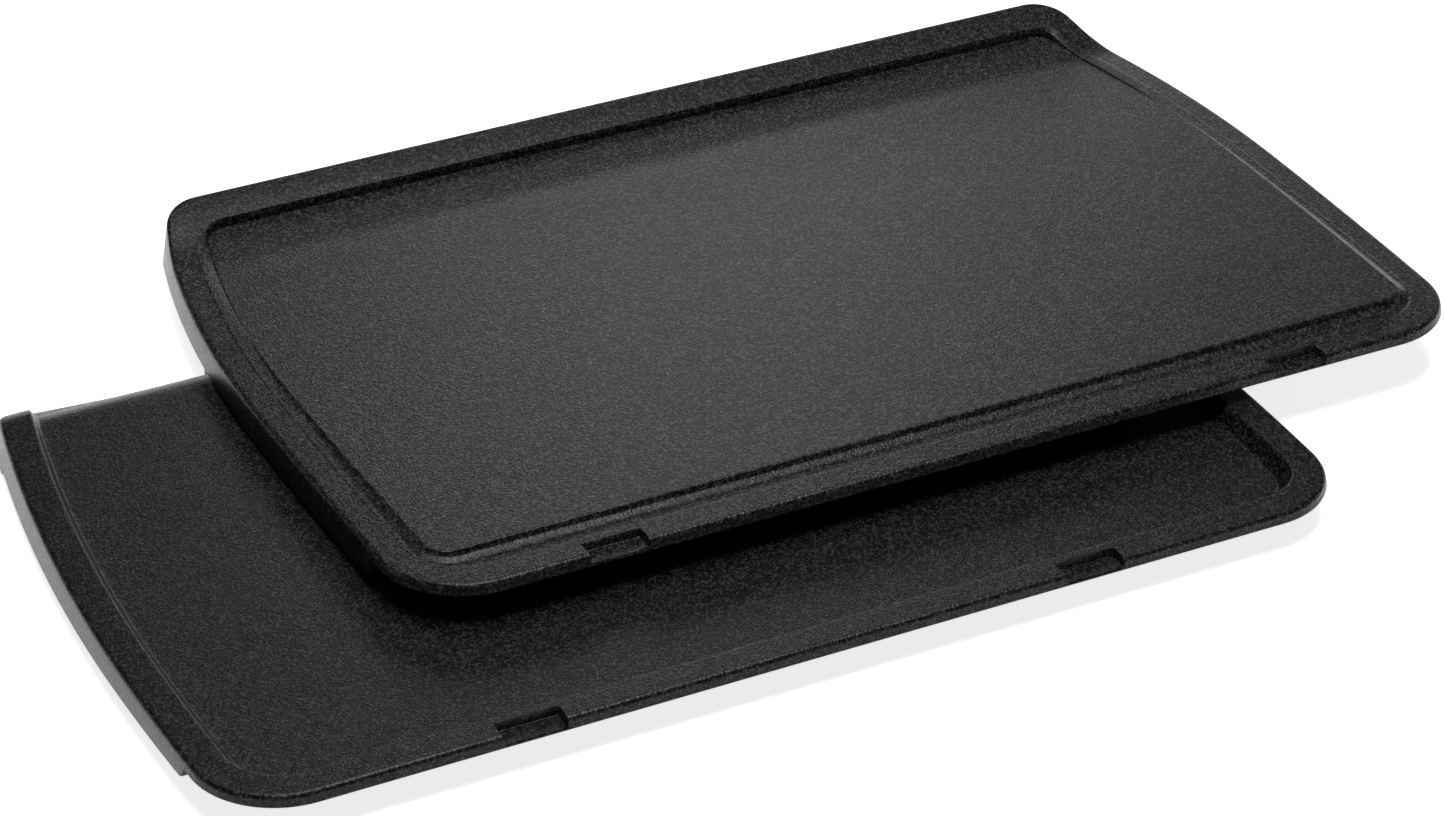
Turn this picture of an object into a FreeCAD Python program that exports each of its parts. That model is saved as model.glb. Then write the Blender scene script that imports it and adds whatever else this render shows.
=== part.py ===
"""Two removable griddle plates of a contact grill, one resting on the other.

Each plate is one aluminium die casting. The tray plate lies underneath: a shallow tray inside a flat rim, whose
floor and rim roll down over the rear edge so that fat runs off. The raised plate lies on it, shifted to the right
and to the rear: a flat field that stands proud of its rim at the front and sinks into a rising rear rim.

Every plate is modelled about its own datum: x = 0 on its centre line, y = 0 at its front edge, z = 0 on its flat
rim, +Y to the rear. Its Placement then puts it where it lies, with the base of the stack on z = 0.
"""

import FreeCAD, Part
import os
import re
from math import atan2, sqrt, tan

import Sketcher

V = FreeCAD.Vector
doc = FreeCAD.newDocument("griddle_plates")

# ---------------------------------------------------------------- driving dimensions, in millimetres and degrees

SIZES = {
    # both castings
    "rim_width": 9.5,
    "lip_thickness": 3.6,
    "wall_thickness": 3.0,
    "front_corner": 25.0,
    "rear_corner": 12.5,
    "skirt_front": 28.0,
    "skirt_end_radius": 3.0,
    "skirt_draft": 8.0,
    "edge_radius": 1.3,
    "notch_depth": 6.1,
    "notch_drop": 2.5,
    "foot_radius": 5.0,
    "foot_inset": 118.0,
    "foot_setback": 42.0,
    "track_half_span": 86.0,
    "track_width": 15.0,
    "track_front": 46.0,
    "track_rear": 172.0,
    "track_corner": 30.0,
    "channel_width": 6.8,
    "channel_depth": 2.4,
    "rib_width": 2.5,
    "rib_height": 2.0,
    "rib_pitch": 34.0,
    "tongue_width": 26.0,
    "tongue_reach": 5.5,
    "tongue_thickness": 2.4,
    "tongue_spacing": 150.0,
    "margin": 30.0,
    "overrun": 3.0,
    # raised plate
    "raised_depth": 222.8,
    "raised_front_half": 167.5,
    "raised_belly_half": 170.0,
    "raised_rear_half": 154.6,
    "raised_belly_y": 112.0,
    "raised_skirt": 9.2,
    "raised_notch_centre": 108.4,
    "raised_notch_width": 17.5,
    "rise_start": 200.0,
    "rise_end": 220.5,
    "rise_height": 8.2,
    "rise_radius": 48.0,
    "recess_inset": 11.6,
    "field_inset": 12.0,
    "field_front": 16.3,
    "field_proud": 1.7,
    "field_low": 0.5,
    "field_bend": 193.0,
    "field_rear_rise": 3.6,
    "field_bend_radius": 45.0,
    "field_corner": 7.0,
    "field_draft": 60.0,
    "groove_drop": 0.8,
    "track_height": 3.8,
    # tray plate
    "tray_depth": 217.0,
    "tray_front_half": 167.5,
    "tray_belly_half": 169.9,
    "tray_rear_half": 153.9,
    "tray_belly_y": 72.0,
    "tray_skirt": 12.3,
    "tray_skirt_front": 6.8,
    "tray_skirt_rear": 10.4,
    "tray_rest_length": 20.0,
    "tray_notch_centre": 83.4,
    "tray_notch_width": 18.2,
    "tray_drop_front": 5.6,
    "tray_drop_rear": 1.8,
    "tray_thickness": 2.5,
    "tray_draft": 30.0,
    "tray_rim_roll": 20.0,
    "tray_floor_roll": 27.0,
    "tray_roll_drop": 6.6,
    # how the raised plate lies on the tray plate
    "shift_right": 76.2,
    "shift_rear": 56.0,
    "clearance": 0.3,
}

sheet = doc.addObject("Spreadsheet::Sheet", "sizes")
for row, (alias, value) in enumerate(SIZES.items(), start=1):
    sheet.set(f"A{row}", alias)
    sheet.set(f"B{row}", str(value))
    sheet.setAlias(f"B{row}", alias)
doc.recompute()


def bound(expression):
    """Writes an expression in the sheet's words as one that FreeCAD binds to the sheet's cells."""
    return re.sub(r"[a-z_]+", lambda word: f"sizes.{word[0]}" if word[0] in SIZES else word[0], expression)


def value_of(expression):
    """The present value of an expression in the sheet's words, as a plain number."""
    return float(sheet.evalExpression(bound(expression)))


# ---------------------------------------------------------------- sketches

START, END, CENTRE = 1, 2, 3
ORIGIN = (-1, 1)
TURN = FreeCAD.Rotation(V(1, 1, 1), 120)
SIDE_VIEW = FreeCAD.Placement(V(0, 0, 0), TURN)  # sketch x runs along Y and sketch y along Z


def new_sketch(name, placement):
    sketch = doc.addObject("Sketcher::SketchObject", name)
    sketch.Placement = placement
    return sketch


def dimension(sketch, kind, *geometry, expression):
    """Adds a dimension to a sketch and binds it to the sheet."""
    index = sketch.addConstraint(Sketcher.Constraint(kind, *geometry, value_of(expression)))
    sketch.setExpression(f"Constraints[{index}]", bound(expression))


def place_point(sketch, geometry, point, across, up):
    """Dimensions a sketch point from the sketch's origin, both ways."""
    dimension(sketch, "DistanceX", *ORIGIN, geometry, point, expression=across)
    dimension(sketch, "DistanceY", *ORIGIN, geometry, point, expression=up)


def arc_between(first, last, centre, radius):
    """The short arc from first to last, and which of its ends is first: arcs run anticlockwise."""
    circle = Part.Circle(V(*centre, 0), V(0, 0, 1), radius)
    begin = atan2(first.y - centre[1], first.x - centre[0])
    finish = atan2(last.y - centre[1], last.x - centre[0])
    leftward = (first.x - centre[0]) * (last.y - centre[1]) > (first.y - centre[1]) * (last.x - centre[0])
    if leftward:
        return Part.ArcOfCircle(circle, begin, finish), START, END
    return Part.ArcOfCircle(circle, finish, begin), END, START


def polygon(name, corners, placement=SIDE_VIEW):
    """A closed outline through corners (across, up, radius), given as expressions. A radius rounds its corner."""
    sketch = new_sketch(name, placement)
    points = [V(value_of(across), value_of(up), 0) for across, up, _ in corners]
    count = len(points)
    ways = [(points[(i + 1) % count] - points[i]).normalize() for i in range(count)]
    setbacks = []
    for i, (_, _, radius) in enumerate(corners):
        turn = ways[i - 1].getAngle(ways[i])
        setbacks.append(value_of(radius) * tan(turn / 2) if radius else 0.0)
    lines = []
    for i in range(count):
        begin = points[i] + ways[i] * setbacks[i]
        finish = points[(i + 1) % count] - ways[i] * setbacks[(i + 1) % count]
        lines.append(sketch.addGeometry(Part.LineSegment(begin, finish)))
    for i, (across, up, radius) in enumerate(corners):
        before, after = lines[i - 1], lines[i]
        if not radius:
            sketch.addConstraint(Sketcher.Constraint("Coincident", before, END, after, START))
            place_point(sketch, after, START, across, up)
            continue
        begin = points[i] - ways[i - 1] * setbacks[i]
        finish = points[i] + ways[i] * setbacks[i]
        side = 1 if ways[i - 1].cross(ways[i]).z > 0 else -1
        reach = side * value_of(radius)
        centre = (begin.x - reach * ways[i - 1].y, begin.y + reach * ways[i - 1].x)
        shape, near, far = arc_between(begin, finish, centre, value_of(radius))
        arc = sketch.addGeometry(shape)
        sketch.addConstraint(Sketcher.Constraint("Tangent", before, END, arc, near))
        sketch.addConstraint(Sketcher.Constraint("Tangent", arc, far, after, START))
        dimension(sketch, "Radius", arc, expression=radius)
        corner = sketch.addGeometry(Part.Point(points[i]), True)
        sketch.addConstraint(Sketcher.Constraint("PointOnObject", corner, START, before))
        sketch.addConstraint(Sketcher.Constraint("PointOnObject", corner, START, after))
        place_point(sketch, corner, START, across, up)
    return sketch


def plan(name, plate, inset, front, rear, front_corner, rear_corner, placement=FreeCAD.Placement()):
    """A plate's outline from above, drawn in by inset at the sides and cut off at front and rear.

    Each side is two arcs that meet, both square to the front, at the belly: the plate's widest place.
    """
    belly = f"{plate}_belly_half"
    belly_y = f"{plate}_belly_y"
    front_in = f"({belly} - {plate}_front_half)"
    rear_in = f"({belly} - {plate}_rear_half)"
    front_run = belly_y
    rear_run = f"({plate}_depth - {belly_y})"
    front_radius = f"(({front_run}^2 + {front_in}^2) / (2 * {front_in}) - ({inset}))"
    rear_radius = f"(({rear_run}^2 + {rear_in}^2) / (2 * {rear_in}) - ({inset}))"
    half = value_of(f"{belly} - ({inset})")
    y_belly, y_front, y_rear = (value_of(e) for e in (belly_y, front, rear))
    r_front, r_rear = value_of(front_radius), value_of(rear_radius)
    c_front, c_rear = value_of(front_corner), value_of(rear_corner)
    front_centre = (half - r_front, y_belly)
    rear_centre = (half - r_rear, y_belly)
    corner_y = y_front + c_front
    corner_x = front_centre[0] + sqrt((r_front - c_front) ** 2 - (y_belly - corner_y) ** 2)
    tail_y = y_rear - c_rear
    tail_x = rear_centre[0] + sqrt((r_rear - c_rear) ** 2 - (tail_y - y_belly) ** 2)

    def along(centre, through, radius):
        way = V(through[0] - centre[0], through[1] - centre[1], 0).normalize()
        return V(centre[0], centre[1], 0) + way * radius

    side = along(front_centre, (corner_x, corner_y), r_front)
    turn = along(rear_centre, (tail_x, tail_y), r_rear)
    right = [V(corner_x, y_front, 0), side, V(half, y_belly, 0), turn, V(tail_x, y_rear, 0)]
    centres = [(corner_x, corner_y), front_centre, rear_centre, (tail_x, tail_y)]
    radii = [c_front, r_front, r_rear, c_rear]

    sketch = new_sketch(name, placement)
    mirrored = [V(-point.x, point.y, 0) for point in right]
    front_line = sketch.addGeometry(Part.LineSegment(mirrored[0], right[0]))
    chain = [(front_line, START, END)]
    for i in range(4):
        shape, near, far = arc_between(right[i], right[i + 1], centres[i], radii[i])
        chain.append((sketch.addGeometry(shape), near, far))
    rear_line = sketch.addGeometry(Part.LineSegment(right[4], mirrored[4]))
    chain.append((rear_line, START, END))
    for i in reversed(range(4)):
        centre = (-centres[i][0], centres[i][1])
        shape, near, far = arc_between(mirrored[i + 1], mirrored[i], centre, radii[i])
        chain.append((sketch.addGeometry(shape), near, far))
    for (before, _, far), (after, near, _) in zip(chain, chain[1:] + chain[:1]):
        sketch.addConstraint(Sketcher.Constraint("Tangent", before, far, after, near))
    sketch.addConstraint(Sketcher.Constraint("Horizontal", front_line))
    sketch.addConstraint(Sketcher.Constraint("Horizontal", rear_line))
    dimension(sketch, "DistanceY", *ORIGIN, front_line, START, expression=front)
    dimension(sketch, "DistanceY", *ORIGIN, rear_line, START, expression=rear)
    for order, sign in (((1, 2, 3, 4), ""), ((9, 8, 7, 6), "-")):
        arcs = [chain[i][0] for i in order]
        belly_point = chain[order[1]][2] if not sign else chain[order[1]][1]
        for arc, radius in zip(arcs, (front_corner, front_radius, rear_radius, rear_corner)):
            dimension(sketch, "Radius", arc, expression=radius)
        place_point(sketch, arcs[1], belly_point, f"{sign}({belly} - ({inset}))", belly_y)
        dimension(sketch, "DistanceY", *ORIGIN, arcs[1], CENTRE, expression=belly_y)
    return sketch


# ---------------------------------------------------------------- solids

def extrusion(name, sketch, forward, backward="0", draft="0"):
    """A solid drawn from a sketch along its normal, by forward one way and backward the other.

    draft draws the backward end in.
    """
    solid = doc.addObject("Part::Extrusion", name)
    solid.Base = sketch
    solid.DirMode = "Normal"
    solid.Solid = True
    solid.setExpression("LengthFwd", bound(forward))
    solid.setExpression("LengthRev", bound(backward))
    solid.setExpression("TaperAngleRev", bound(f"-({draft})"))
    return solid


def across(name, corners):
    """A side-view outline drawn out over the whole width and past both sides."""
    reach = "tray_belly_half + raised_belly_half"
    return extrusion(name, polygon(f"{name}_side", corners), reach, reach)


def block(name, width, depth, height, x, y, z):
    """A box, given as expressions, from its lowest corner."""
    box = doc.addObject("Part::Box", name)
    for key, expression in (("Length", width), ("Width", depth), ("Height", height)):
        box.setExpression(key, bound(expression))
    for key, expression in (("x", x), ("y", y), ("z", z)):
        box.setExpression(f"Placement.Base.{key}", bound(expression))
    return box


def joined(kind, name, shapes):
    result = doc.addObject(f"Part::Multi{kind}", name)
    result.Shapes = shapes
    return result


def common(name, *shapes):
    return joined("Common", name, list(shapes))


def fused(name, *shapes):
    return joined("Fuse", name, list(shapes))


def cut(name, base, tool):
    result = doc.addObject("Part::Cut", name)
    result.Base = base
    result.Tool = tool
    return result


# ---------------------------------------------------------------- features both castings share

def notches(plate):
    """Two catch notches in the front lip, open at the top and the front, with a thin floor left under them."""
    width = f"{plate}_notch_width"
    pair = []
    for side, sign in (("left", "-"), ("right", "")):
        middle = f"{sign}{plate}_notch_centre"
        pair.append(block(f"{plate}_notch_{side}", width, "2 * notch_depth", "notch_drop + lip_thickness",
                          f"{middle} - {width} / 2", "-notch_depth", "-notch_drop"))
    return fused(f"{plate}_notches", *pair)


def loop_track(name, width, pan, low):
    """A U-shaped pad under the pan, open to the rear, that follows the heating element. pan and low are heights."""
    outer = f"(track_half_span + {width} / 2)"
    inner = f"(track_half_span - {width} / 2)"
    front_outer = f"(track_front - {width} / 2)"
    front_inner = f"(track_front + {width} / 2)"
    outer_corner = f"(track_corner + {width} / 2)"
    inner_corner = f"(track_corner - {width} / 2)"
    corners = [
        (f"-{outer}", "track_rear", None),
        (f"-{outer}", front_outer, outer_corner),
        (outer, front_outer, outer_corner),
        (outer, "track_rear", None),
        (inner, "track_rear", None),
        (inner, front_inner, inner_corner),
        (f"-{inner}", front_inner, inner_corner),
        (f"-{inner}", "track_rear", None),
    ]
    sketch = polygon(f"{name}_plan", corners, FreeCAD.Placement())
    pad = extrusion(name, sketch, f"{pan} - ({low})")
    pad.setExpression("Placement.Base.z", bound(low))
    return pad


def feet(plate, top, low):
    """Two round locating feet under the front of a plate."""
    pair = []
    for side, sign in (("left", "-"), ("right", "")):
        foot = doc.addObject("Part::Cone", f"{plate}_foot_{side}")
        foot.setExpression("Radius1", bound("foot_radius * 0.8"))
        foot.setExpression("Radius2", bound("foot_radius"))
        foot.setExpression("Height", bound(f"{top} - ({low})"))
        foot.setExpression("Placement.Base.x", bound(f"{sign}foot_inset"))
        foot.setExpression("Placement.Base.y", bound("foot_setback"))
        foot.setExpression("Placement.Base.z", bound(low))
        pair.append(foot)
    return pair


def tongues(plate, low):
    """Two tongues low on the rear wall that hook into the appliance."""
    pair = []
    for side, sign in (("left", "-"), ("right", "")):
        middle = f"{sign}tongue_spacing / 2"
        pair.append(block(f"{plate}_tongue_{side}", "tongue_width", "wall_thickness / 2 + tongue_reach",
                          "tongue_thickness", f"{middle} - tongue_width / 2",
                          f"{plate}_depth - wall_thickness / 2", low))
    return pair


def ribs(plate, top, low):
    """Shallow stiffening ribs across the pan, between the two arms of the track."""
    bars = []
    for i in range(3):
        place = f"track_front + {i + 1} * rib_pitch - rib_width / 2"
        bars.append(block(f"{plate}_rib_{i + 1}", "2 * track_half_span - track_width / 2", "rib_width",
                          f"{top} - ({low})", "-track_half_span + track_width / 4", place, low))
    return bars


def rounded_rim(name, body):
    """Rounds the outer edge of a plate's top, where a face that looks up meets a face that looks sideways."""
    doc.recompute()
    edges = []
    for index, edge in enumerate(body.Shape.Edges, start=1):
        middle = edge.valueAt((edge.FirstParameter + edge.LastParameter) / 2)
        heights = []
        for face in body.Shape.ancestorsOfType(edge, Part.Face):
            heights.append(face.normalAt(*face.Surface.parameter(middle)).z)
        if len(heights) == 2 and max(heights) > 0.5 and abs(min(heights)) < 0.2:
            edges.append((index, value_of("edge_radius"), value_of("edge_radius")))
    result = doc.addObject("Part::Fillet", name)
    result.Base = body
    result.Edges = edges
    return result


# ---------------------------------------------------------------- raised plate

def raised_field(name):
    """The proud field: a slab that leans to the rear, gently sloped at its sides and upright at its front."""
    lean = "atan((field_proud + field_low) / (field_bend - field_front))"
    top = plan(f"{name}_top", "raised", "field_inset", "field_front", "raised_depth - rear_corner",
               "field_corner", "field_corner")
    top.setExpression("Placement.Base.z", bound(f"field_proud + field_front * tan({lean})"))
    top.setExpression("Placement.Rotation.Axis.x", "1")
    top.setExpression("Placement.Rotation.Axis.z", "0")
    top.setExpression("Placement.Rotation.Angle", bound(f"-{lean}"))
    slab = extrusion(f"{name}_slab", top, "0", "lip_thickness - field_low", "-field_draft")
    reach = block(f"{name}_reach", "4 * raised_belly_half", "field_bend - field_front", "margin",
                  "-2 * raised_belly_half", "field_front", "-margin / 2")
    return common(name, slab, reach)


def raised_plate():
    gain = "rise_height * tan(skirt_draft)"
    outline = plan("raised_outline", "raised", gain, gain, "raised_depth", f"front_corner - {gain}", "rear_corner")
    outline.setExpression("Placement.Base.z", bound("rise_height"))
    prism = extrusion("raised_prism", outline, "0", "rise_height + margin", "-skirt_draft")
    stock = across("raised_stock", [
        ("-margin", "-lip_thickness", None),
        ("skirt_front", "-lip_thickness", None),
        ("skirt_front", "-raised_skirt", "skirt_end_radius"),
        ("raised_depth + margin", "-raised_skirt", None),
        ("raised_depth + margin", "rise_height", None),
        ("rise_end", "rise_height", "rise_radius"),
        ("rise_start", "0", "rise_radius"),
        ("-margin", "0", None),
    ])
    outer = rounded_rim("raised_outer", common("raised_blank", stock, prism))

    hollow_plan = plan("raised_hollow_plan", "raised", "wall_thickness", "skirt_front / 2",
                       "raised_depth - wall_thickness", "field_corner", "rear_corner - wall_thickness")
    hollow = common("raised_hollow", extrusion("raised_hollow_prism", hollow_plan, "margin", "margin"),
                    across("raised_ceiling", [
                        ("-margin", "-margin", None),
                        ("raised_depth", "-margin", None),
                        ("raised_depth", "field_rear_rise - lip_thickness + field_low", None),
                        ("field_bend", "-lip_thickness", "field_bend_radius"),
                        ("-margin", "-lip_thickness", None),
                    ]))
    groove_plan = plan("groove_plan", "raised", "rim_width", "rim_width", "raised_belly_y + margin",
                       "front_corner - rim_width", "field_corner")
    groove = common("groove", extrusion("groove_prism", groove_plan, "margin", "groove_drop"),
                    block("groove_reach", "4 * raised_belly_half", "field_front + field_corner", "2 * margin",
                          "-2 * raised_belly_half", "0", "-margin"))
    recess_plan = plan("recess_plan", "raised", "recess_inset", "field_front", "raised_depth - recess_inset",
                       "field_corner", "field_corner")
    recess_prism = extrusion("recess_prism", recess_plan, "margin / 2", "lip_thickness")
    recess = common("recess", recess_prism, across("recess_floor", [
        ("field_front", "field_proud", None),
        ("field_bend", "-field_low", "field_bend_radius"),
        ("raised_depth", "field_rear_rise", None),
        ("raised_depth", "margin", None),
        ("field_front", "margin", None),
    ]))
    shell = cut("raised_shell", outer, fused("raised_waste", hollow, groove, notches("raised")))
    low = "-lip_thickness - track_height"
    pad = loop_track("raised_track", "track_width", "-lip_thickness + edge_radius", low)
    body = fused("raised_body", shell, raised_field("field"), pad,
                 *feet("raised", "-lip_thickness + edge_radius", "-raised_skirt"),
                 *ribs("raised", "-lip_thickness + edge_radius", "-lip_thickness - rib_height"),
                 *tongues("raised", "-raised_skirt + tongue_thickness"))
    channel = loop_track("raised_channel", "channel_width", f"{low} + channel_depth", low)
    return cut("raised_griddle_plate", body, fused("raised_sinks", recess, channel))


# ---------------------------------------------------------------- tray plate

def rolled_line(drop_front, drop_rear, radius):
    """Corners of a line at a given depth under the rim, from behind the rear edge, up its roll, to the front."""
    return [
        ("tray_depth + overrun", f"-tray_roll_drop - overrun - ({drop_rear}) * sqrt(2)", None),
        (f"tray_depth - tray_roll_drop - ({drop_rear}) * (sqrt(2) - 1)", f"-({drop_rear})", radius),
        ("rim_width", f"-({drop_front})", None),
    ]


def tray_plate():
    outline = plan("tray_outline", "tray", "0", "0", "tray_depth", "front_corner", "rear_corner")
    stock = across("tray_stock", [
        ("-margin", "-lip_thickness", None),
        ("skirt_front", "-lip_thickness", None),
        ("skirt_front", "-tray_skirt_front", "skirt_end_radius"),
        ("tray_depth - tray_rest_length - wall_thickness", "-tray_skirt_rear", None),
        ("tray_depth - tray_rest_length", "-tray_skirt", None),
        ("tray_depth + overrun", "-tray_skirt", None),
        ("tray_depth + overrun", "-tray_roll_drop - overrun", None),
        ("tray_depth - tray_roll_drop", "0", "tray_rim_roll"),
        ("-margin", "0", None),
    ])
    blank = common("tray_blank", stock, extrusion("tray_prism", outline, "margin", "margin", "-skirt_draft"))
    outer = rounded_rim("tray_outer", blank)

    pan_inset = "rim_width - tray_thickness"
    pan_plan = plan("tray_pan_plan", "tray", pan_inset, pan_inset, "tray_belly_y", "front_corner - rim_width",
                    "overrun")
    pan = extrusion("tray_pan", pan_plan, "0", "tray_skirt")

    hollow_plan = plan("tray_hollow_plan", "tray", "wall_thickness", "wall_thickness",
                       "tray_depth - wall_thickness", "front_corner - wall_thickness",
                       "rear_corner - wall_thickness")
    hollow = common("tray_hollow", extrusion("tray_hollow_prism", hollow_plan, "0", "margin", "-skirt_draft"),
                    across("tray_underside", [
                        ("0", "-margin", None),
                        ("tray_depth + overrun", "-margin", None),
                        *rolled_line("tray_drop_front + tray_thickness", "tray_drop_rear + tray_thickness",
                                     "tray_floor_roll - tray_thickness"),
                        ("0", "-tray_drop_front - tray_thickness", None),
                    ]))

    sloped_plan = plan("tray_sloped_plan", "tray", "rim_width", "rim_width", "tray_depth + margin",
                       "front_corner - rim_width", "field_corner")
    sloped = extrusion("tray_sloped", sloped_plan, "margin", "tray_drop_front + overrun", "tray_draft")
    mouth_plan = plan("tray_mouth_plan", "tray", "rim_width + tray_drop_rear + clearance", "rim_width",
                      "tray_depth + margin", "overrun", "overrun")
    mouth_start = "tray_depth - tray_roll_drop - tray_floor_roll * tan(22.5)"
    mouth = common("tray_mouth", extrusion("tray_mouth_prism", mouth_plan, "margin", "margin"),
                   block("tray_mouth_reach", "4 * tray_belly_half", "2 * margin", "2 * margin",
                         "-2 * tray_belly_half", mouth_start, "-margin"))
    recess = common("tray_recess", fused("tray_recess_walls", sloped, mouth), across("tray_floor", [
        *rolled_line("tray_drop_front", "tray_drop_rear", "tray_floor_roll"),
        ("rim_width", "margin", None),
        ("tray_depth + overrun", "margin", None),
    ]))
    casting = cut("tray_casting", fused("tray_solid", outer, pan), hollow)
    top = "-tray_drop_rear - edge_radius"
    low = "-tray_skirt + tongue_thickness"
    body = fused("tray_body", casting, loop_track("tray_track", "track_width", top, low),
                 *feet("tray", top, "-tray_skirt"), *ribs("tray", top, f"{low} + rib_height"))
    channel = loop_track("tray_channel", "channel_width", f"{low} + channel_depth", low)
    dished = cut("tray_dished", body, fused("tray_sinks", recess, notches("tray"), channel))
    return fused("tray_griddle_plate", dished, *tongues("tray", "-tray_skirt"))


# ---------------------------------------------------------------- the stack

def placed(plate, x, y, z):
    """Puts a plate where it lies, measured from the tray plate's datum and then from the stack's origin."""
    plate.Label = plate.Name
    middle_x = "(shift_right + raised_belly_half - tray_belly_half) / 2"
    middle_y = "(shift_rear + raised_depth + tongue_reach - lip_thickness * tan(skirt_draft)) / 2"
    plate.setExpression("Placement.Base.x", bound(f"{x} - {middle_x}"))
    plate.setExpression("Placement.Base.y", bound(f"{y} - {middle_y}"))
    plate.setExpression("Placement.Base.z", bound(f"{z} + tray_skirt"))
    return plate


def check(node):
    """Stops before anything is written if a plate isn't one valid solid."""
    if node.Shape.isNull() or not node.Shape.isValid() or len(node.Shape.Solids) != 1:
        raise ValueError(f"{node.Label} isn't one valid solid")


NODES = [
    placed(tray_plate(), "0", "0", "0"),
    placed(raised_plate(), "shift_right", "shift_rear", "raised_skirt - tray_drop_rear + clearance"),
]
doc.recompute()
for item in doc.Objects:
    if "Invalid" in item.State or "Error" in item.State:
        raise ValueError(f"{item.Name} failed: {item.State}")
os.makedirs("parts", exist_ok=True)
for node in NODES:
    check(node)
    node.Shape.exportStep(f"parts/{node.Label}.step")
    box = node.Shape.BoundBox
    print(f"{node.Label}: {node.Shape.Volume / 1000:.1f} cm3, x {box.XMin:.2f} to {box.XMax:.2f}, "
          f"y {box.YMin:.2f} to {box.YMax:.2f}, z {box.ZMin:.2f} to {box.ZMax:.2f}")
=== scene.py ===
"""Two non-stick griddle plates, one lying on the other, on a plain pale floor in soft studio light.

Lengths are in millimetres until a mesh is placed. Lights and the camera are placed in metres. Each plate is
drawn about its own datum: x = 0 on its centre line, y = 0 at its front edge, z = 0 on its flat rim. The frame
says where each datum is.
"""

from math import atan2, cos, hypot, pi, radians, sin, sqrt, tan

import bpy
import numpy as np
from mathutils import Euler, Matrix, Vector


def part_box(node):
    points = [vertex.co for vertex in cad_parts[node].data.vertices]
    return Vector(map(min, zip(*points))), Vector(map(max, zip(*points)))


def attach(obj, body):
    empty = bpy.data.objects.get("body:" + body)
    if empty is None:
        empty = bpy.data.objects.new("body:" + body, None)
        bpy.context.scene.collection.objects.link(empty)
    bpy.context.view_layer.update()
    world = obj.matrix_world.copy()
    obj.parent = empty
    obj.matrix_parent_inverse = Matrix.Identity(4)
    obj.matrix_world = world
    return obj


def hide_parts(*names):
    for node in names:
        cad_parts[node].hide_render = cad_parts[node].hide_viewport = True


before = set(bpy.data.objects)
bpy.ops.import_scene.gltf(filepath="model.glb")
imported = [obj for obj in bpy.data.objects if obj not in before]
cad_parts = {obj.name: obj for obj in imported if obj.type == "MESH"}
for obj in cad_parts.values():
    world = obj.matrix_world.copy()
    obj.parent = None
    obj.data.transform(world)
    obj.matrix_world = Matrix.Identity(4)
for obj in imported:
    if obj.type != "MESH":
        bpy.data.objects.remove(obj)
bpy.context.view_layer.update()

MM = 0.001

# ---------------------------------------------------------------- sizes both castings share

RIM = 9.5                       # width of the flat rim
LIP = 3.6                       # thickness at the front, where there is no skirt
WALL = 3.0                      # thickness of the skirt
SKIRT_START = 28.0              # how far behind the front edge the skirt begins
SKIRT_END_RADIUS = 3.0
DRAFT = tan(radians(8))         # how far the outer faces flare for each millimetre down
SIDE_LEAN = tan(radians(2.2))   # how far the side rims fall for each millimetre outwards
EDGE = 1.3                      # radius of the rim's outer edge
FOOT_EDGE = 0.5                 # radius of the edges of the skirt's foot
FRONT_CORNER = 25.0
REAR_CORNER = 12.5

NOTCH_DEPTH = 6.1
NOTCH_DROP = 2.5
NOTCH_SOFT = 0.45               # how far the notches' walls lean over their height

TONGUE_REACH = 5.5              # how far the rear tongues stand out behind the plate
PROFILE_START = -30             # where a height profile begins, ahead of the plate


class Cast:
    """Sizes of the features cast under both plates."""
    root = 1.2                  # how far they reach up into the pan that carries them
    track_half_span, track_front, track_rear, track_bend = 86, 46, 172, 30
    track_half_width, track_edge = 7.5, 0.6
    channel_half_width, channel_depth = 3.4, 2.4
    rib_count, rib_pitch = 3, 34
    rib_half_length, rib_half_width, rib_edge = 80, 1.25, 0.5
    foot_x, foot_y, foot_radius = 118, 42, 5
    foot_rounding = ((0.8, 0.0), (0.25, 0.2), (0.0, 0.7))      # (inset, height) from the foot up
    tongue_x, tongue_half_length, tongue_height = 75, 13, 2.4
    tongue_root, tongue_edge = 1, 0.5


class Raised:
    """The raised plate's own sizes."""
    depth = 222.8
    halves = (167.5, 170.0, 154.6)                             # half widths: front, belly, rear
    belly_y = 112.0
    skirt = 9.2
    notch_centre, notch_width = 108.4, 17.5
    track_low, rib_low = -7.4, -LIP - 2
    rise, rise_from, rise_to, rise_radius = 8.2, 200, 220.5, 48
    profile_end = 300
    field_front, field_inset, field_corner = 16.3, 12.0, 7
    field_proud, field_slope = 1.7, 0.01245                    # height at its front, fall to the rear
    dip_y, dip, dip_radius = 193, -0.5, 45                     # the field's lowest line
    field_rear, pan_rear = 3.6, 0.5
    pan_beyond = (250, 4.2)
    groove = 0.8
    foot_slope, foot_least, foot_front = tan(radians(30)), 0.45, 2.8


class Tray:
    """The tray plate's own sizes."""
    depth = 217.0
    halves = (167.5, 169.9, 153.9)                             # half widths: front, belly, rear
    belly_y = 72.0
    skirt = 12.3
    notch_centre, notch_width = 83.4, 18.2
    track_low, rib_low = -skirt + 2.4, -skirt + 4.4
    skirt_front, skirt_rear, rest = 6.8, 10.4, 20.0            # rest: length of the deep rear part
    roll, roll_run = 6.6, 60                                   # the top rolls down this far from the rear
    drop_front, drop_rear, thickness = 5.6, 1.8, 2.5
    rim_radius, floor_radius, pan_radius = 20, 27, 24.5
    wall_slope, wall_soft = tan(radians(30)), 0.25
    floor_inset = 17


def smooth(x):
    """0 below 0, 1 above 1, and an even turn between."""
    x = min(1.0, max(0.0, x))
    return x * x * (3 - 2 * x)


def mix(a, b, share):
    return a + (b - a) * share


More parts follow.
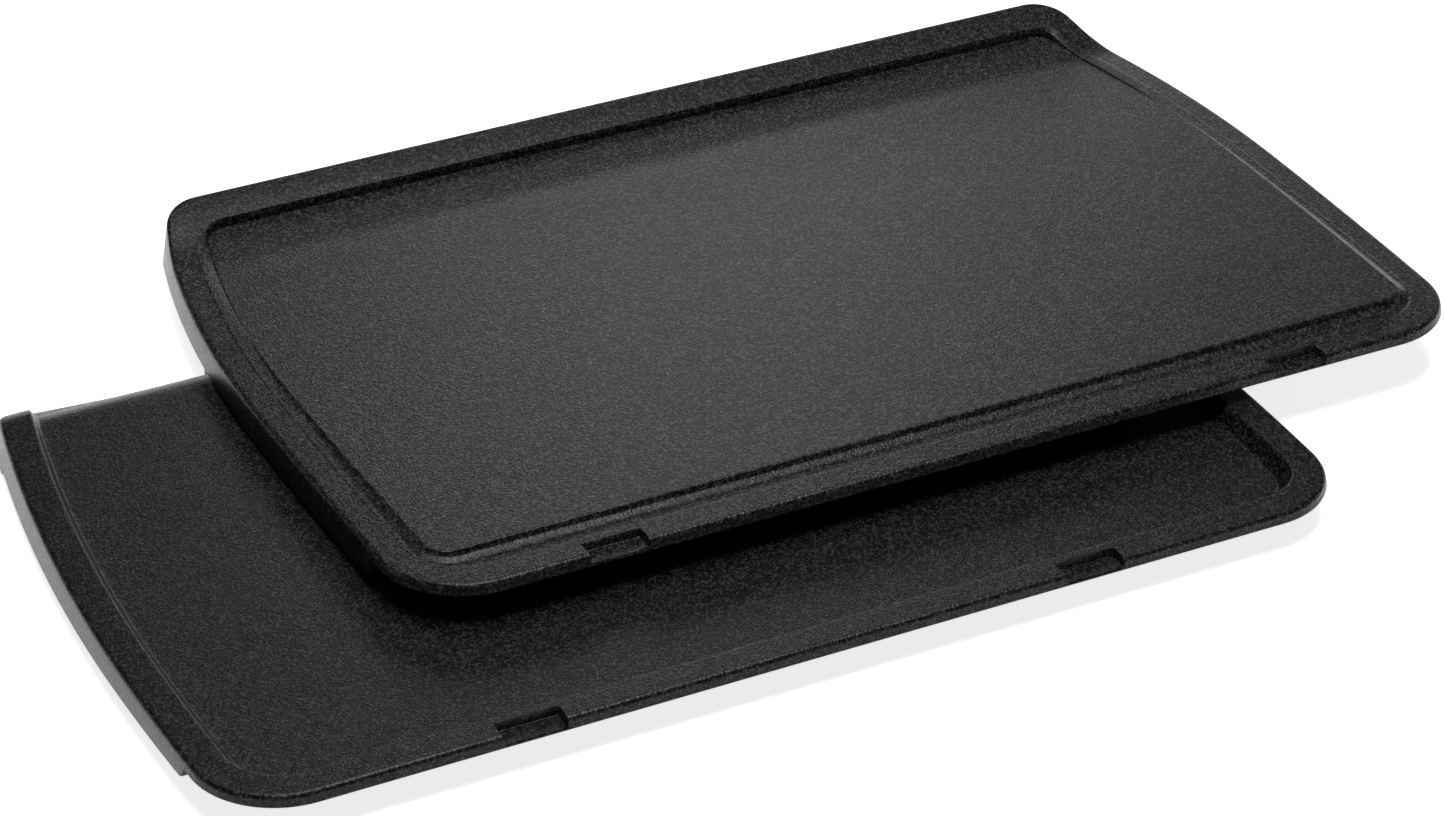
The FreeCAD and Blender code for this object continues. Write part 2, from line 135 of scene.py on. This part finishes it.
def profile(*corners):
    """Height along y through corners (y, z) or (y, z, radius). The rounded corners are circular arcs."""
    points = [corners[0][:2]]
    for before, corner, after in zip(corners, corners[1:], corners[2:]):
        way_in = Vector((corner[0] - before[0], corner[1] - before[1])).normalized()
        way_out = Vector((after[0] - corner[0], after[1] - corner[1])).normalized()
        if len(corner) == 2:
            points.append(corner)
            continue
        half_turn = way_in.angle(way_out) / 2
        setback = corner[2] * tan(half_turn)
        middle = Vector(corner[:2])
        begin, finish, weight = middle - way_in * setback, middle + way_out * setback, cos(half_turn)
        for share in np.linspace(0, 1, 17):
            pull = 2 * weight * share * (1 - share)
            total = (1 - share) ** 2 + pull + share ** 2
            points.append(tuple((begin * (1 - share) ** 2 + middle * pull + finish * share ** 2) / total))
    points.append(corners[-1][:2])
    along, up = zip(*points)
    return lambda y: float(np.interp(y, along, up))


def spaced(*stretches):
    """Places from (first, last, count) stretches, each without its last place, which the next one begins."""
    places = []
    for first, last, count in stretches:
        places += list(np.linspace(first, last, count, endpoint=False))
    return places


# Rows along a side, as shares of its length: close together where the skirt begins and where the plate bends.
SIDE_PLACES = spaced((0.008, 0.0195, 3), (0.0196, 0.021, 3), (0.021, 0.036, 8), (0.036, 0.8, 44),
                     (0.8, 0.997, 26))


class Outline:
    """A plate's outline from above, as rows from front to rear.

    Each row is its half width, its y and the outward normal of its right end. Each side is two arcs that meet,
    both square to the front, at the belly. The corners are arcs of their own.
    """

    CORNER_ROWS = 20

    def __init__(self, sizes, inset, front, rear, front_corner, rear_corner):
        front_half, self.belly, rear_half = sizes.halves
        self.belly_y = sizes.belly_y
        self.front_radius = self.arc(self.belly_y, self.belly - front_half)
        self.rear_radius = self.arc(sizes.depth - self.belly_y, self.belly - rear_half)
        front_centre, front_turn = self.corner(self.front_radius - inset, front + front_corner, front_corner)
        rear_centre, rear_turn = self.corner(self.rear_radius - inset, rear - rear_corner, rear_corner)
        rows = []
        for angle in np.linspace(-pi / 2, front_turn, self.CORNER_ROWS):
            rows.append(self.on_corner(front_centre, front_corner, angle))
        first, last = rows[-1][1], rear_centre[1] + rear_corner * sin(rear_turn)
        for place in SIDE_PLACES:
            y = mix(first, last, place)
            radius = (self.front_radius if y < self.belly_y else self.rear_radius) - inset
            rise = y - self.belly_y
            across = sqrt(radius ** 2 - rise ** 2)
            rows.append((self.belly - inset - radius + across, y, across / radius, rise / radius))
        for angle in np.linspace(rear_turn, pi / 2, self.CORNER_ROWS):
            rows.append(self.on_corner(rear_centre, rear_corner, angle))
        self.rows = rows
        count, turned = len(rows), self.CORNER_ROWS - 1
        self.front_share = [1 - smooth(k / turned) for k in range(count)]
        self.side_share = [smooth(min(k, count - 1 - k) / turned) for k in range(count)]

    @staticmethod
    def arc(run, drawn_in):
        return (run ** 2 + drawn_in ** 2) / (2 * drawn_in)

    @staticmethod
    def on_corner(centre, radius, angle):
        return centre[0] + radius * cos(angle), centre[1] + radius * sin(angle), cos(angle), sin(angle)

    def corner(self, side_radius, y, corner_radius):
        """Centre of the corner arc that meets the side's arc, and the direction in which they meet."""
        reach = side_radius - corner_radius
        across = sqrt(reach ** 2 - (y - self.belly_y) ** 2)
        side_centre = self.belly - (self.front_radius if y < self.belly_y else self.rear_radius)
        return (side_centre + across, y), atan2(y - self.belly_y, across)

    def inside(self, x, y):
        """How far a point lies inside the side, whatever the corners do."""
        radius = self.front_radius if y < self.belly_y else self.rear_radius
        return radius - hypot(abs(x) - (self.belly - radius), y - self.belly_y)


class Skin:
    """A closed skin built ring by ring: from the underside's middle outwards, up the edge, in over the top."""

    POST_SIDES = 40

    def __init__(self, columns):
        self.columns = columns
        self.points = []
        self.faces = []
        self.last = None

    def ring(self, outline, out, height, lean=0.0):
        """Adds a ring at a distance out(y, share) from the outline's rows and at height(x, y, share).

        share is 1 across the front and falls to 0 round its corners. lean is how far the ring's sides fall.
        """
        rows, share = outline.rows, outline.front_share
        half, ends = rows[0][0], len(rows) - 1

        def place(k, x_share, side):
            x, y, across, along = rows[k]
            distance = out(y, share[k])
            x, y = x + across * distance, y + along * distance
            x = x * x_share if k in (0, ends) else x * side
            return x, y, height(x, y, share[k]) - lean * outline.side_share[k]

        ring = [place(0, c / half, 1) for c in self.spread(half)]
        ring += [place(k, 1, 1) for k in range(1, ends)]
        ring += [place(ends, c / half, 1) for c in reversed(self.spread(half))]
        ring += [place(k, 1, -1) for k in reversed(range(1, ends))]
        indices = list(range(len(self.points), len(self.points) + len(ring)))
        self.points += ring
        if self.last:
            for i, (a, b) in enumerate(zip(self.last, indices)):
                following = (i + 1) % len(ring)
                self.faces.append((a, self.last[following], indices[following], b))
        self.last = indices
        return indices

    def spread(self, half):
        """The columns' places across a straight front or rear, stretched to meet its ends."""
        return [c * half / self.columns[-1] for c in self.columns]

    def fill(self, indices, height, upward):
        """Fills a ring with straight rows across, each at its own height."""
        count = len(self.columns)
        ends = (len(indices) - 2 * count) // 2
        shares = [c / self.columns[-1] for c in self.columns]
        table = [indices[:count]]
        for k in range(ends):
            right = indices[count + k]
            left = indices[-1 - k]
            x, y, _ = self.points[right]
            row = [left]
            for share in shares[1:-1]:
                row.append(len(self.points))
                self.points.append((x * share, y, height(y)))
            table.append(row + [right])
        table.append(indices[count + ends:2 * count + ends][::-1])
        for near, far in zip(table, table[1:]):
            for a, b, c, d in zip(near, near[1:], far[1:], far):
                self.faces.append((a, b, c, d) if upward else (d, c, b, a))

    def sweep(self, path, section, top):
        """Adds a closed bar: a section of (offset, height) points drawn along a path seen from above.

        A point without a height lies at the top, a function of y.
        """
        first = len(self.points)
        count = len(section)
        for i, point in enumerate(path):
            before, after = path[max(i - 1, 0)], path[min(i + 1, len(path) - 1)]
            way = Vector((after[0] - before[0], after[1] - before[1])).normalized()
            for offset, z in section:
                y = point[1] - way.x * offset
                self.points.append((point[0] + way.y * offset, y, top(y) if z is None else z))
        for i in range(len(path) - 1):
            for j in range(count):
                a, b = first + i * count + j, first + i * count + (j + 1) % count
                self.faces.append((a, a + count, b + count, b))
        end = first + (len(path) - 1) * count
        self.faces.append(tuple(range(first, first + count)))
        self.faces.append(tuple(reversed(range(end, end + count))))

    def post(self, x, y, section):
        """Adds a closed round post: a section of (radius, height) points from its foot up."""
        first = len(self.points)
        count = self.POST_SIDES
        for radius, z in section:
            for i in range(count):
                angle = 2 * pi * i / count
                self.points.append((x + radius * cos(angle), y + radius * sin(angle), z))
        for level in range(len(section) - 1):
            for i in range(count):
                a, b = first + level * count + i, first + level * count + (i + 1) % count
                self.faces.append((a, b, b + count, a + count))
        end = first + (len(section) - 1) * count
        self.faces.append(tuple(reversed(range(first, first + count))))
        self.faces.append(tuple(range(end, end + count)))


# ---------------------------------------------------------------- underside

def rounded_bar(low, half_width, radius, high=None):
    """A bar's section with its two lower edges rounded, anticlockwise as seen along its path."""
    turn = [radians(a) for a in (0, 30, 60, 90)]
    right = [(half_width - radius + radius * sin(a), low + radius - radius * cos(a)) for a in turn]
    left = [(-x, z) for x, z in reversed(right)]
    return left + right + [(half_width, high), (-half_width, high)]


def channel_bar(low, half_width, half_channel, channel_depth, radius):
    """A bar's section with a channel along the middle of its foot."""
    bar = rounded_bar(low, half_width, radius)
    middle = [(-half_channel, low), (-half_channel, low + channel_depth),
              (half_channel, low + channel_depth), (half_channel, low)]
    return bar[:4] + middle + bar[4:]


def u_path(half_span, front, rear, radius):
    """The heater track's centre line: back to front, across and back again, with round corners."""
    path = [(-half_span, y) for y in np.linspace(rear, front + radius, 12)]
    for angle in np.linspace(pi, 1.5 * pi, 16)[1:]:
        path.append((-half_span + radius + radius * cos(angle), front + radius + radius * sin(angle)))
    path += [(x, front) for x in np.linspace(-half_span + radius, half_span - radius, 12)[1:]]
    for angle in np.linspace(-pi / 2, 0, 16)[1:]:
        path.append((half_span - radius + radius * cos(angle), front + radius + radius * sin(angle)))
    path += [(half_span, y) for y in np.linspace(front + radius, rear, 12)[1:]]
    return path


def underside(skin, pan, sizes):
    """The features cast under a plate, rooted inside its pan: heater track, ribs, front feet, rear tongues."""
    low, radius = -sizes.skirt, Cast.foot_radius

    def root(y):
        return pan(y) + Cast.root

    track = channel_bar(sizes.track_low, Cast.track_half_width, Cast.channel_half_width, Cast.channel_depth,
                        Cast.track_edge)
    skin.sweep(u_path(Cast.track_half_span, Cast.track_front, Cast.track_rear, Cast.track_bend), track, root)
    rib = rounded_bar(sizes.rib_low, Cast.rib_half_width, Cast.rib_edge)
    for i in range(Cast.rib_count):
        y = Cast.track_front + Cast.rib_pitch * (i + 1)
        skin.sweep([(x, y) for x in np.linspace(-Cast.rib_half_length, Cast.rib_half_length, 9)], rib, root)
    foot = [(radius - inset, low + lift) for inset, lift in Cast.foot_rounding]
    foot.append((radius, root(Cast.foot_y)))
    tongue = rounded_bar(low, TONGUE_REACH / 2 + Cast.tongue_root, Cast.tongue_edge, low + Cast.tongue_height)
    y = sizes.depth + TONGUE_REACH / 2 - Cast.tongue_root
    for side in (-1, 1):
        skin.post(side * Cast.foot_x, Cast.foot_y, foot)
        middle, half = side * Cast.tongue_x, Cast.tongue_half_length
        skin.sweep([(middle - half, y), (middle + half, y)], tongue, root)


# ---------------------------------------------------------------- skirt, edge and rim

# Rings round the skirt's foot, as (inset, lift). The inner lifts are shares of the inner edge's rounding.
INNER_FOOT_RINGS = ((WALL, 1.0), (WALL - 0.15, 0.3), (WALL - 0.5, 0.0))
OUTER_FOOT_RINGS = ((FOOT_EDGE, 0.0), (0.15, 0.15), (0.0, FOOT_EDGE))

# Rings over the rim's outer edge, as (inset, drop, further drop at the front). The first lies below the
# rounding, and at the front below the notches' floors too.
EDGE_RINGS = [(0.0, EDGE + 0.5, 1.0)]
EDGE_RINGS += [(EDGE * (1 - cos(turn)), EDGE * (1 - sin(turn)), 0.0)
               for turn in map(radians, (0, 12, 25, 38, 51, 64, 77, 90))]

# Insets of the rings across the rim, close together at the notches' rear walls.
RIM_RINGS = (1.9, 3.2, 4.6, 5.5, 5.8, 5.92, 6.0, 6.08, 6.16, 6.24, 6.35, 6.6, 7.4, 8.1)


def skirt_foot(reach):
    """The outside's lower edge along y: the lip's at the front, then reach(y) down, a round end between."""
    def bottom(y):
        if y < SKIRT_START:
            return -LIP
        past = max(0.0, SKIRT_START + SKIRT_END_RADIUS - y)
        return SKIRT_END_RADIUS - sqrt(SKIRT_END_RADIUS ** 2 - past ** 2) - reach(y)
    return bottom


def lower_edge(bottom, pan, y):
    """How high the inner foot edge is rounded: nothing where the lip has no skirt."""
    return FOOT_EDGE if pan(y) - bottom(y) > 1 else 0.0


def edge_and_rim(skin, outline, bottom, pan, rim, top, notch, rings):
    """Rings from the skirt's inner foot, round the foot, up the outside, over the rounded edge and inwards.

    top(x, y, inset) is the height of the top surface before the notches are sunk into it.
    """
    for inset, lift in INNER_FOOT_RINGS:
        skin.ring(outline, lambda y, share, i=inset: -i - bottom(y) * DRAFT,
                  lambda x, y, share, lift=lift: bottom(y) + lift * lower_edge(bottom, pan, y))
    for inset, lift in OUTER_FOOT_RINGS:
        skin.ring(outline, lambda y, share, i=inset: -i - bottom(y) * DRAFT,
                  lambda x, y, share, lift=lift: bottom(y) + lift)
    for inset, drop, more in EDGE_RINGS:
        skin.ring(outline, lambda y, share, i=inset, d=drop, m=more: -i - (rim(y) - d - m * share) * DRAFT,
                  lambda x, y, share, i=inset, d=drop, m=more: notch(x, y, top(x, y, i) - d - m * share),
                  (RIM - inset) * SIDE_LEAN)
    for inset in rings:
        skin.ring(outline, lambda y, share, i=inset: -i - rim(y) * DRAFT,
                  lambda x, y, share, i=inset: notch(x, y, top(x, y, i)), max(0.0, RIM - inset) * SIDE_LEAN)


def notched(sizes):
    """A height function that sinks a plate's two front notches."""
    def height(x, y, z):
        beside = (sizes.notch_width / 2 - abs(abs(x) - sizes.notch_centre)) / NOTCH_SOFT + 0.5
        behind = (NOTCH_DEPTH - y) / NOTCH_SOFT + 0.5
        return mix(z, min(z, -NOTCH_DROP), smooth(beside) * smooth(behind))
    return height


def columns_for(sizes, outline):
    """Column places across a plate's straight front, close together at the walls of its notches."""
    half, centre = outline.rows[0][0], sizes.notch_centre
    inner, outer = centre - sizes.notch_width / 2, centre + sizes.notch_width / 2
    near = [0, 20, 40, 55, 65]
    for wall in (inner, outer):
        near += [wall + step for step in (-1.2, -0.5, -0.3, -0.2, -0.1, 0, 0.1, 0.2, 0.3, 0.5, 1.2)]
    near += [centre - 4, centre, centre + 4, (outer + half) / 2, half]
    near = sorted(place for place in near if place <= half)
    return [-place for place in reversed(near[1:])] + near


# ---------------------------------------------------------------- raised plate

# Rings into the groove, as (inset at the front, inset at the sides, share of the groove's depth).
GROOVE_RINGS = ((9.2, 8.3, 0.0), (9.5, 8.4, 0.06), (9.75, 8.45, 0.3), (10.05, 8.5, 0.7), (10.4, 8.55, 0.94),
                (10.9, 8.6, 1.0), (12.6, 8.65, 1.0))
# Rings up the hollow foot of the field, as (share of its width, share of its height).
FIELD_FOOT_RINGS = ((1.0, 0.0), (0.85, 0.05), (0.65, 0.13), (0.45, 0.23), (0.3, 0.32), (0.2, 0.4),
                    (0.13, 0.49), (0.08, 0.6), (0.05, 0.7))
# Rings over the field's rounded edge, as (inset, drop), and the ones inside it.
FIELD_EDGE_RINGS = ((0.0, 0.42), (0.08, 0.26), (0.2, 0.14), (0.36, 0.06), (0.58, 0.01), (0.8, 0.0),
                    (1.1, 0.0))
FIELD_INNER_RINGS = (2.5, 6.0)


def raised_skin():
    sizes, groove = Raised, Raised.groove
    rim = profile((PROFILE_START, 0), (sizes.rise_from, 0, sizes.rise_radius),
                  (sizes.rise_to, sizes.rise, sizes.rise_radius), (sizes.profile_end, sizes.rise))
    field = profile((0, sizes.field_proud + sizes.field_front * sizes.field_slope),
                    (sizes.dip_y, sizes.dip, sizes.dip_radius), (sizes.depth, sizes.field_rear))
    pan = profile((PROFILE_START, -LIP), (sizes.dip_y, -LIP, sizes.dip_radius),
                  (sizes.depth, sizes.pan_rear), sizes.pan_beyond)
    bottom = skirt_foot(lambda y: sizes.skirt)
    gain = sizes.rise * DRAFT
    outline = Outline(sizes, 0, 0, sizes.depth + gain, FRONT_CORNER, REAR_CORNER + gain)
    inner = Outline(sizes, sizes.field_inset, sizes.field_front, sizes.depth - sizes.field_inset,
                    sizes.field_corner, sizes.field_corner)

    skin = Skin(columns_for(sizes, outline))
    start = skin.ring(outline, lambda y, share: -WALL - 0.8, lambda x, y, share: pan(y))
    skin.ring(outline, lambda y, share: -WALL - 0.25, lambda x, y, share: pan(y))
    skin.ring(outline, lambda y, share: -WALL, lambda x, y, share: pan(y) - lower_edge(bottom, pan, y) / 3)
    edge_and_rim(skin, outline, bottom, pan, rim, lambda x, y, inset: rim(y), notched(sizes), RIM_RINGS)
    for at_front, at_side, sunk in GROOVE_RINGS:
        skin.ring(outline, lambda y, share, f=at_front, s=at_side: -mix(s, f, share) - rim(y) * DRAFT,
                  lambda x, y, share, sunk=sunk: rim(y) - groove * sunk * share)

    def foot(y, share):
        """How far the hollow at the field's foot spreads: with its height at the sides, evenly in front."""
        proud = max(0.0, field(y) - rim(y))
        return mix(max(sizes.foot_least, proud / sizes.foot_slope), sizes.foot_front, share)

    def rounding(y, share, drop):
        """The field's rounded edge: drop below it, or less where the field stands out less than 1 mm."""
        return field(y) - drop * min(1.0, abs(field(y) - rim(y) + groove * share))

    for wide, high in FIELD_FOOT_RINGS:
        skin.ring(inner, lambda y, share, w=wide: w * foot(y, share),
                  lambda x, y, share, h=high: mix(rim(y) - groove * share, field(y), h))
    for inset, drop in FIELD_EDGE_RINGS:
        skin.ring(inner, lambda y, share, i=inset: -i, lambda x, y, share, d=drop: rounding(y, share, d))
    for inset in FIELD_INNER_RINGS:
        skin.ring(inner, lambda y, share, i=inset: -i, lambda x, y, share: field(y))
    skin.fill(skin.last, field, True)
    skin.fill(start, pan, False)
    underside(skin, pan, sizes)
    return skin


# ---------------------------------------------------------------- tray plate

# Rings outwards under the lip, as (inset, share of the way from the lip's underside to the pan's).
UNDER_RINGS = ((7.4, 1.0), (7.2, 0.9), (7.0, 0.1), (6.8, 0.0), (3.4, 0.0), (3.0, 0.0))
UNDER_START = 9.0
DISH_WALL_RINGS = tuple(np.arange(8.5, 13.8, 0.25))


def tray_skin():
    sizes = Tray

    def rolled(at_front, at_rear, radius):
        """A height that starts level, runs straight to the rear and rolls down there at 45 degrees."""
        corner = sizes.depth - sizes.roll - at_rear * (sqrt(2) - 1)
        return profile((PROFILE_START, -at_front), (RIM, -at_front), (corner, -at_rear, radius),
                       (corner + sizes.roll_run, -at_rear - sizes.roll_run))

    def reach(y):
        """How deep the skirt is: deeper to the rear, then a step down to the rest that the plate stands on."""
        step = sizes.depth - sizes.rest - WALL
        run = min(1, (y - SKIRT_START) / (step - SKIRT_START))
        side = mix(sizes.skirt_front, sizes.skirt_rear, run)
        return mix(side, sizes.skirt, min(1, max(0, (y - step) / WALL)))

    rim = rolled(0, 0, sizes.rim_radius)
    floor = rolled(sizes.drop_front, sizes.drop_rear, sizes.floor_radius)
    pan = rolled(sizes.drop_front + sizes.thickness, sizes.drop_rear + sizes.thickness, sizes.pan_radius)
    bottom = skirt_foot(reach)
    outline = Outline(sizes, 0, 0, sizes.depth, FRONT_CORNER, REAR_CORNER)

    def under(y, inside):
        """The pan's underside, or the lip's where the pan is drawn in behind it."""
        return mix(-LIP, pan(y), smooth(inside)) if y < SKIRT_START else pan(y)

    def under_lip(y):
        return under(y, 0)

    def under_pan(y):
        return under(y, 1)

    def dish(x, y, inset):
        """The top surface: the rim, its sloped inner wall and the floor, all rolling down at the rear."""
        inside = outline.inside(x, y) if y > sizes.belly_y else inset
        run, wide, soft = inside - RIM, (rim(y) - floor(y)) * sizes.wall_slope, sizes.wall_soft
        share = (hypot(run, soft) - hypot(run - wide, soft) + wide) / (2 * wide)
        return mix(rim(y), floor(y), share)

    skin = Skin(columns_for(sizes, outline))
    start = skin.ring(outline, lambda y, share: -UNDER_START, lambda x, y, share: under_pan(y))
    for inset, inside in UNDER_RINGS:
        skin.ring(outline, lambda y, share, i=inset: -i, lambda x, y, share, s=inside: under(y, s))
    edge_and_rim(skin, outline, bottom, under_lip, rim, dish, notched(sizes), RIM_RINGS + DISH_WALL_RINGS)
    skin.ring(outline, lambda y, share: -sizes.floor_inset, lambda x, y, share: floor(y))
    skin.fill(skin.last, floor, True)
    skin.fill(start, under_pan, False)
    underside(skin, pan, sizes)
    return skin


# ---------------------------------------------------------------- materials

SPECULAR_LEVEL, SPECULAR_TINT = 0.22, (1, 0.95, 0.975, 1)
BINDER, FLECK = (0.0035, 0.0032, 0.0033, 1), (0.295, 0.27, 0.283, 1)
ROUGHNESS, ROUGHNESS_SWING = 0.31, 0.03
FLECK_SCALE, CLOUD_SCALE, PEEL_SCALE = 1750, 700, 1500         # cells or waves per metre
FLECK_ABOVE = 0.5                                              # share of the cells without fleck
CLOUD_DETAIL, CLOUD_ROUGHNESS, CLOUD_RANGE = 2, 0.6, (0.3, 0.7)
PEEL_STRENGTH, PEEL_HEIGHT = 1.0, 0.00008                      # height in metres
SHARP_ABOVE = radians(38)


def coating(name, fleck):
    """Black satin non-stick: fine metallic fleck in it, a slight orange peel and an uneven sheen."""
    material = bpy.data.materials.new(name)
    material.use_nodes = True
    nodes, links = material.node_tree.nodes, material.node_tree.links
    shader = nodes["Principled BSDF"]
    shader.inputs["Specular IOR Level"].default_value = SPECULAR_LEVEL
    shader.inputs["Specular Tint"].default_value = SPECULAR_TINT
    place = nodes.new("ShaderNodeTexCoord")

    def pattern(kind, output, **numbers):
        node = nodes.new(kind)
        for socket, number in numbers.items():
            node.inputs[socket].default_value = number
        links.new(place.outputs["Object"], node.inputs["Vector"])
        return node.outputs[output]

    def spread(value, first, last, low, high):
        node = nodes.new("ShaderNodeMapRange")
        for socket, number in (("From Min", first), ("From Max", last), ("To Min", low), ("To Max", high)):
            node.inputs[socket].default_value = number
        links.new(value, node.inputs["Value"])
        return node.outputs["Result"]

    share = spread(pattern("ShaderNodeTexVoronoi", "Color", Scale=FLECK_SCALE), FLECK_ABOVE, 1, 0, fleck)
    links.new(share, shader.inputs["Metallic"])
    colour = nodes.new("ShaderNodeMix")
    colour.data_type = "RGBA"
    colour.inputs["A"].default_value = BINDER
    colour.inputs["B"].default_value = FLECK
    links.new(share, colour.inputs["Factor"])
    links.new(colour.outputs["Result"], shader.inputs["Base Color"])
    clouds = pattern("ShaderNodeTexNoise", "Fac", Scale=CLOUD_SCALE, Detail=CLOUD_DETAIL,
                     Roughness=CLOUD_ROUGHNESS)
    sheen = spread(clouds, *CLOUD_RANGE, ROUGHNESS - ROUGHNESS_SWING, ROUGHNESS + ROUGHNESS_SWING)
    links.new(sheen, shader.inputs["Roughness"])
    bump = nodes.new("ShaderNodeBump")
    bump.inputs["Strength"].default_value = PEEL_STRENGTH
    bump.inputs["Distance"].default_value = PEEL_HEIGHT
    links.new(pattern("ShaderNodeTexVoronoi", "Distance", Scale=PEEL_SCALE), bump.inputs["Height"])
    links.new(bump.outputs["Normal"], shader.inputs["Normal"])
    return material


def add_plate(name, skin, node, body, material, sizes):
    """Makes a plate's mesh and puts it where its CAD node is. Returns the plate's datum in the frame."""
    lowest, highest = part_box(node)
    rear = sizes.depth + TONGUE_REACH
    datum = Vector(((lowest.x + highest.x) / 2, highest.y - rear * MM, lowest.z + sizes.skirt * MM))
    mesh = bpy.data.meshes.new(name)
    mesh.from_pydata([Vector(p) * MM + datum for p in skin.points], [], skin.faces)
    mesh.materials.append(material)
    mesh.shade_smooth()
    mesh.set_sharp_from_angle(angle=SHARP_ABOVE)
    plate = bpy.data.objects.new(name, mesh)
    bpy.context.scene.collection.objects.link(plate)
    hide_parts(node)
    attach(plate, body)
    return datum


# Both plates carry the same coating. The tray's gets fewer metallic flecks than the raised plate's, so its
# colour comes out darker and its flecks weaker. The flecks are real; the tray's lower share is painted shade
# for the tray lying under the raised plate.
tray_coat_with_painted_shade = coating("tray_coating", 0.19)
raised_coat = coating("raised_coating", 0.29)
add_plate("tray_plate_casting", tray_skin(), "tray_griddle_plate", "tray_plate",
          tray_coat_with_painted_shade, Tray)
RAISED_DATUM = add_plate("raised_plate_casting", raised_skin(), "raised_griddle_plate", "raised_plate",
                         raised_coat, Raised)

# ---------------------------------------------------------------- floor, light and camera

FLOOR_SIZE, FLOOR_COLOUR, FLOOR_ROUGHNESS, FLOOR_GLOW = 30, (0.92, 0.92, 0.92, 1), 0.7, 0.8
WHITE = (1, 1, 1, 1)
SURROUNDINGS = 0.06

# Area lights: name, place, the point each one faces, size and power.
SOFTBOXES = (
    ("overhead", (0.08, -0.2, 1.35), (0, 0, 0), (0.8, 0.35), 11),
    ("ceiling", (0.1, 0.5, 1.6), (0, 0, 0), (1.3, 0.7), 8.5),
    ("rear", (0.61, 1.32, 0.64), (0, 0, 0.02), (0.5, 0.5), 1.6),
    ("strip", (1.0, 1.2, 0.13), (0, 0, 0.05), (0.9, 0.22), 2.4),
)

CAMERA_HEADING, CAMERA_TILT = radians(26.79), radians(31.35)
CAMERA_LENS, CAMERA_SENSOR = 116.7, 36                         # millimetres
CAMERA_REACH = 100
CAMERA_LEFT, CAMERA_UP, CAMERA_BACK = 0.0693, 0.0121, 1.3039   # from the raised plate's datum


def floor():
    bpy.ops.mesh.primitive_plane_add(size=FLOOR_SIZE, location=(0, 0, 0))
    ground = bpy.context.object
    ground.name = "studio_floor"
    material = bpy.data.materials.new("pale_floor")
    material.use_nodes = True
    shader = material.node_tree.nodes["Principled BSDF"]
    shader.inputs["Base Color"].default_value = FLOOR_COLOUR
    shader.inputs["Roughness"].default_value = FLOOR_ROUGHNESS
    shader.inputs["Emission Color"].default_value = WHITE
    shader.inputs["Emission Strength"].default_value = FLOOR_GLOW
    ground.data.materials.append(material)


def softbox(name, place, aim, size, power):
    light = bpy.data.lights.new(name, "AREA")
    light.shape = "RECTANGLE"
    light.size, light.size_y = size
    light.energy = power
    lamp = bpy.data.objects.new(name, light)
    lamp.location = place
    lamp.rotation_euler = (Vector(aim) - Vector(place)).to_track_quat("-Z", "Y").to_euler()
    bpy.context.scene.collection.objects.link(lamp)


def surroundings():
    world = bpy.data.worlds.new("studio")
    bpy.context.scene.world = world
    world.use_nodes = True
    background = world.node_tree.nodes["Background"]
    background.inputs["Color"].default_value = WHITE
    background.inputs["Strength"].default_value = SURROUNDINGS


def camera(datum):
    lens = bpy.data.cameras.new("camera")
    lens.sensor_width = CAMERA_SENSOR
    lens.lens = CAMERA_LENS
    lens.clip_end = CAMERA_REACH
    eye = bpy.data.objects.new("camera", lens)
    turn = Euler((pi / 2 - CAMERA_TILT, 0, -CAMERA_HEADING))
    eye.rotation_euler = turn
    basis = turn.to_matrix()
    right, up, back = (basis @ Vector(axis) for axis in ((1, 0, 0), (0, 1, 0), (0, 0, 1)))
    eye.location = datum - right * CAMERA_LEFT + up * CAMERA_UP + back * CAMERA_BACK
    bpy.context.scene.collection.objects.link(eye)
    bpy.context.scene.camera = eye


floor()
surroundings()
for box in SOFTBOXES:
    softbox(*box)
camera(RAISED_DATUM)
bpy.context.scene.view_settings.view_transform = "Standard"
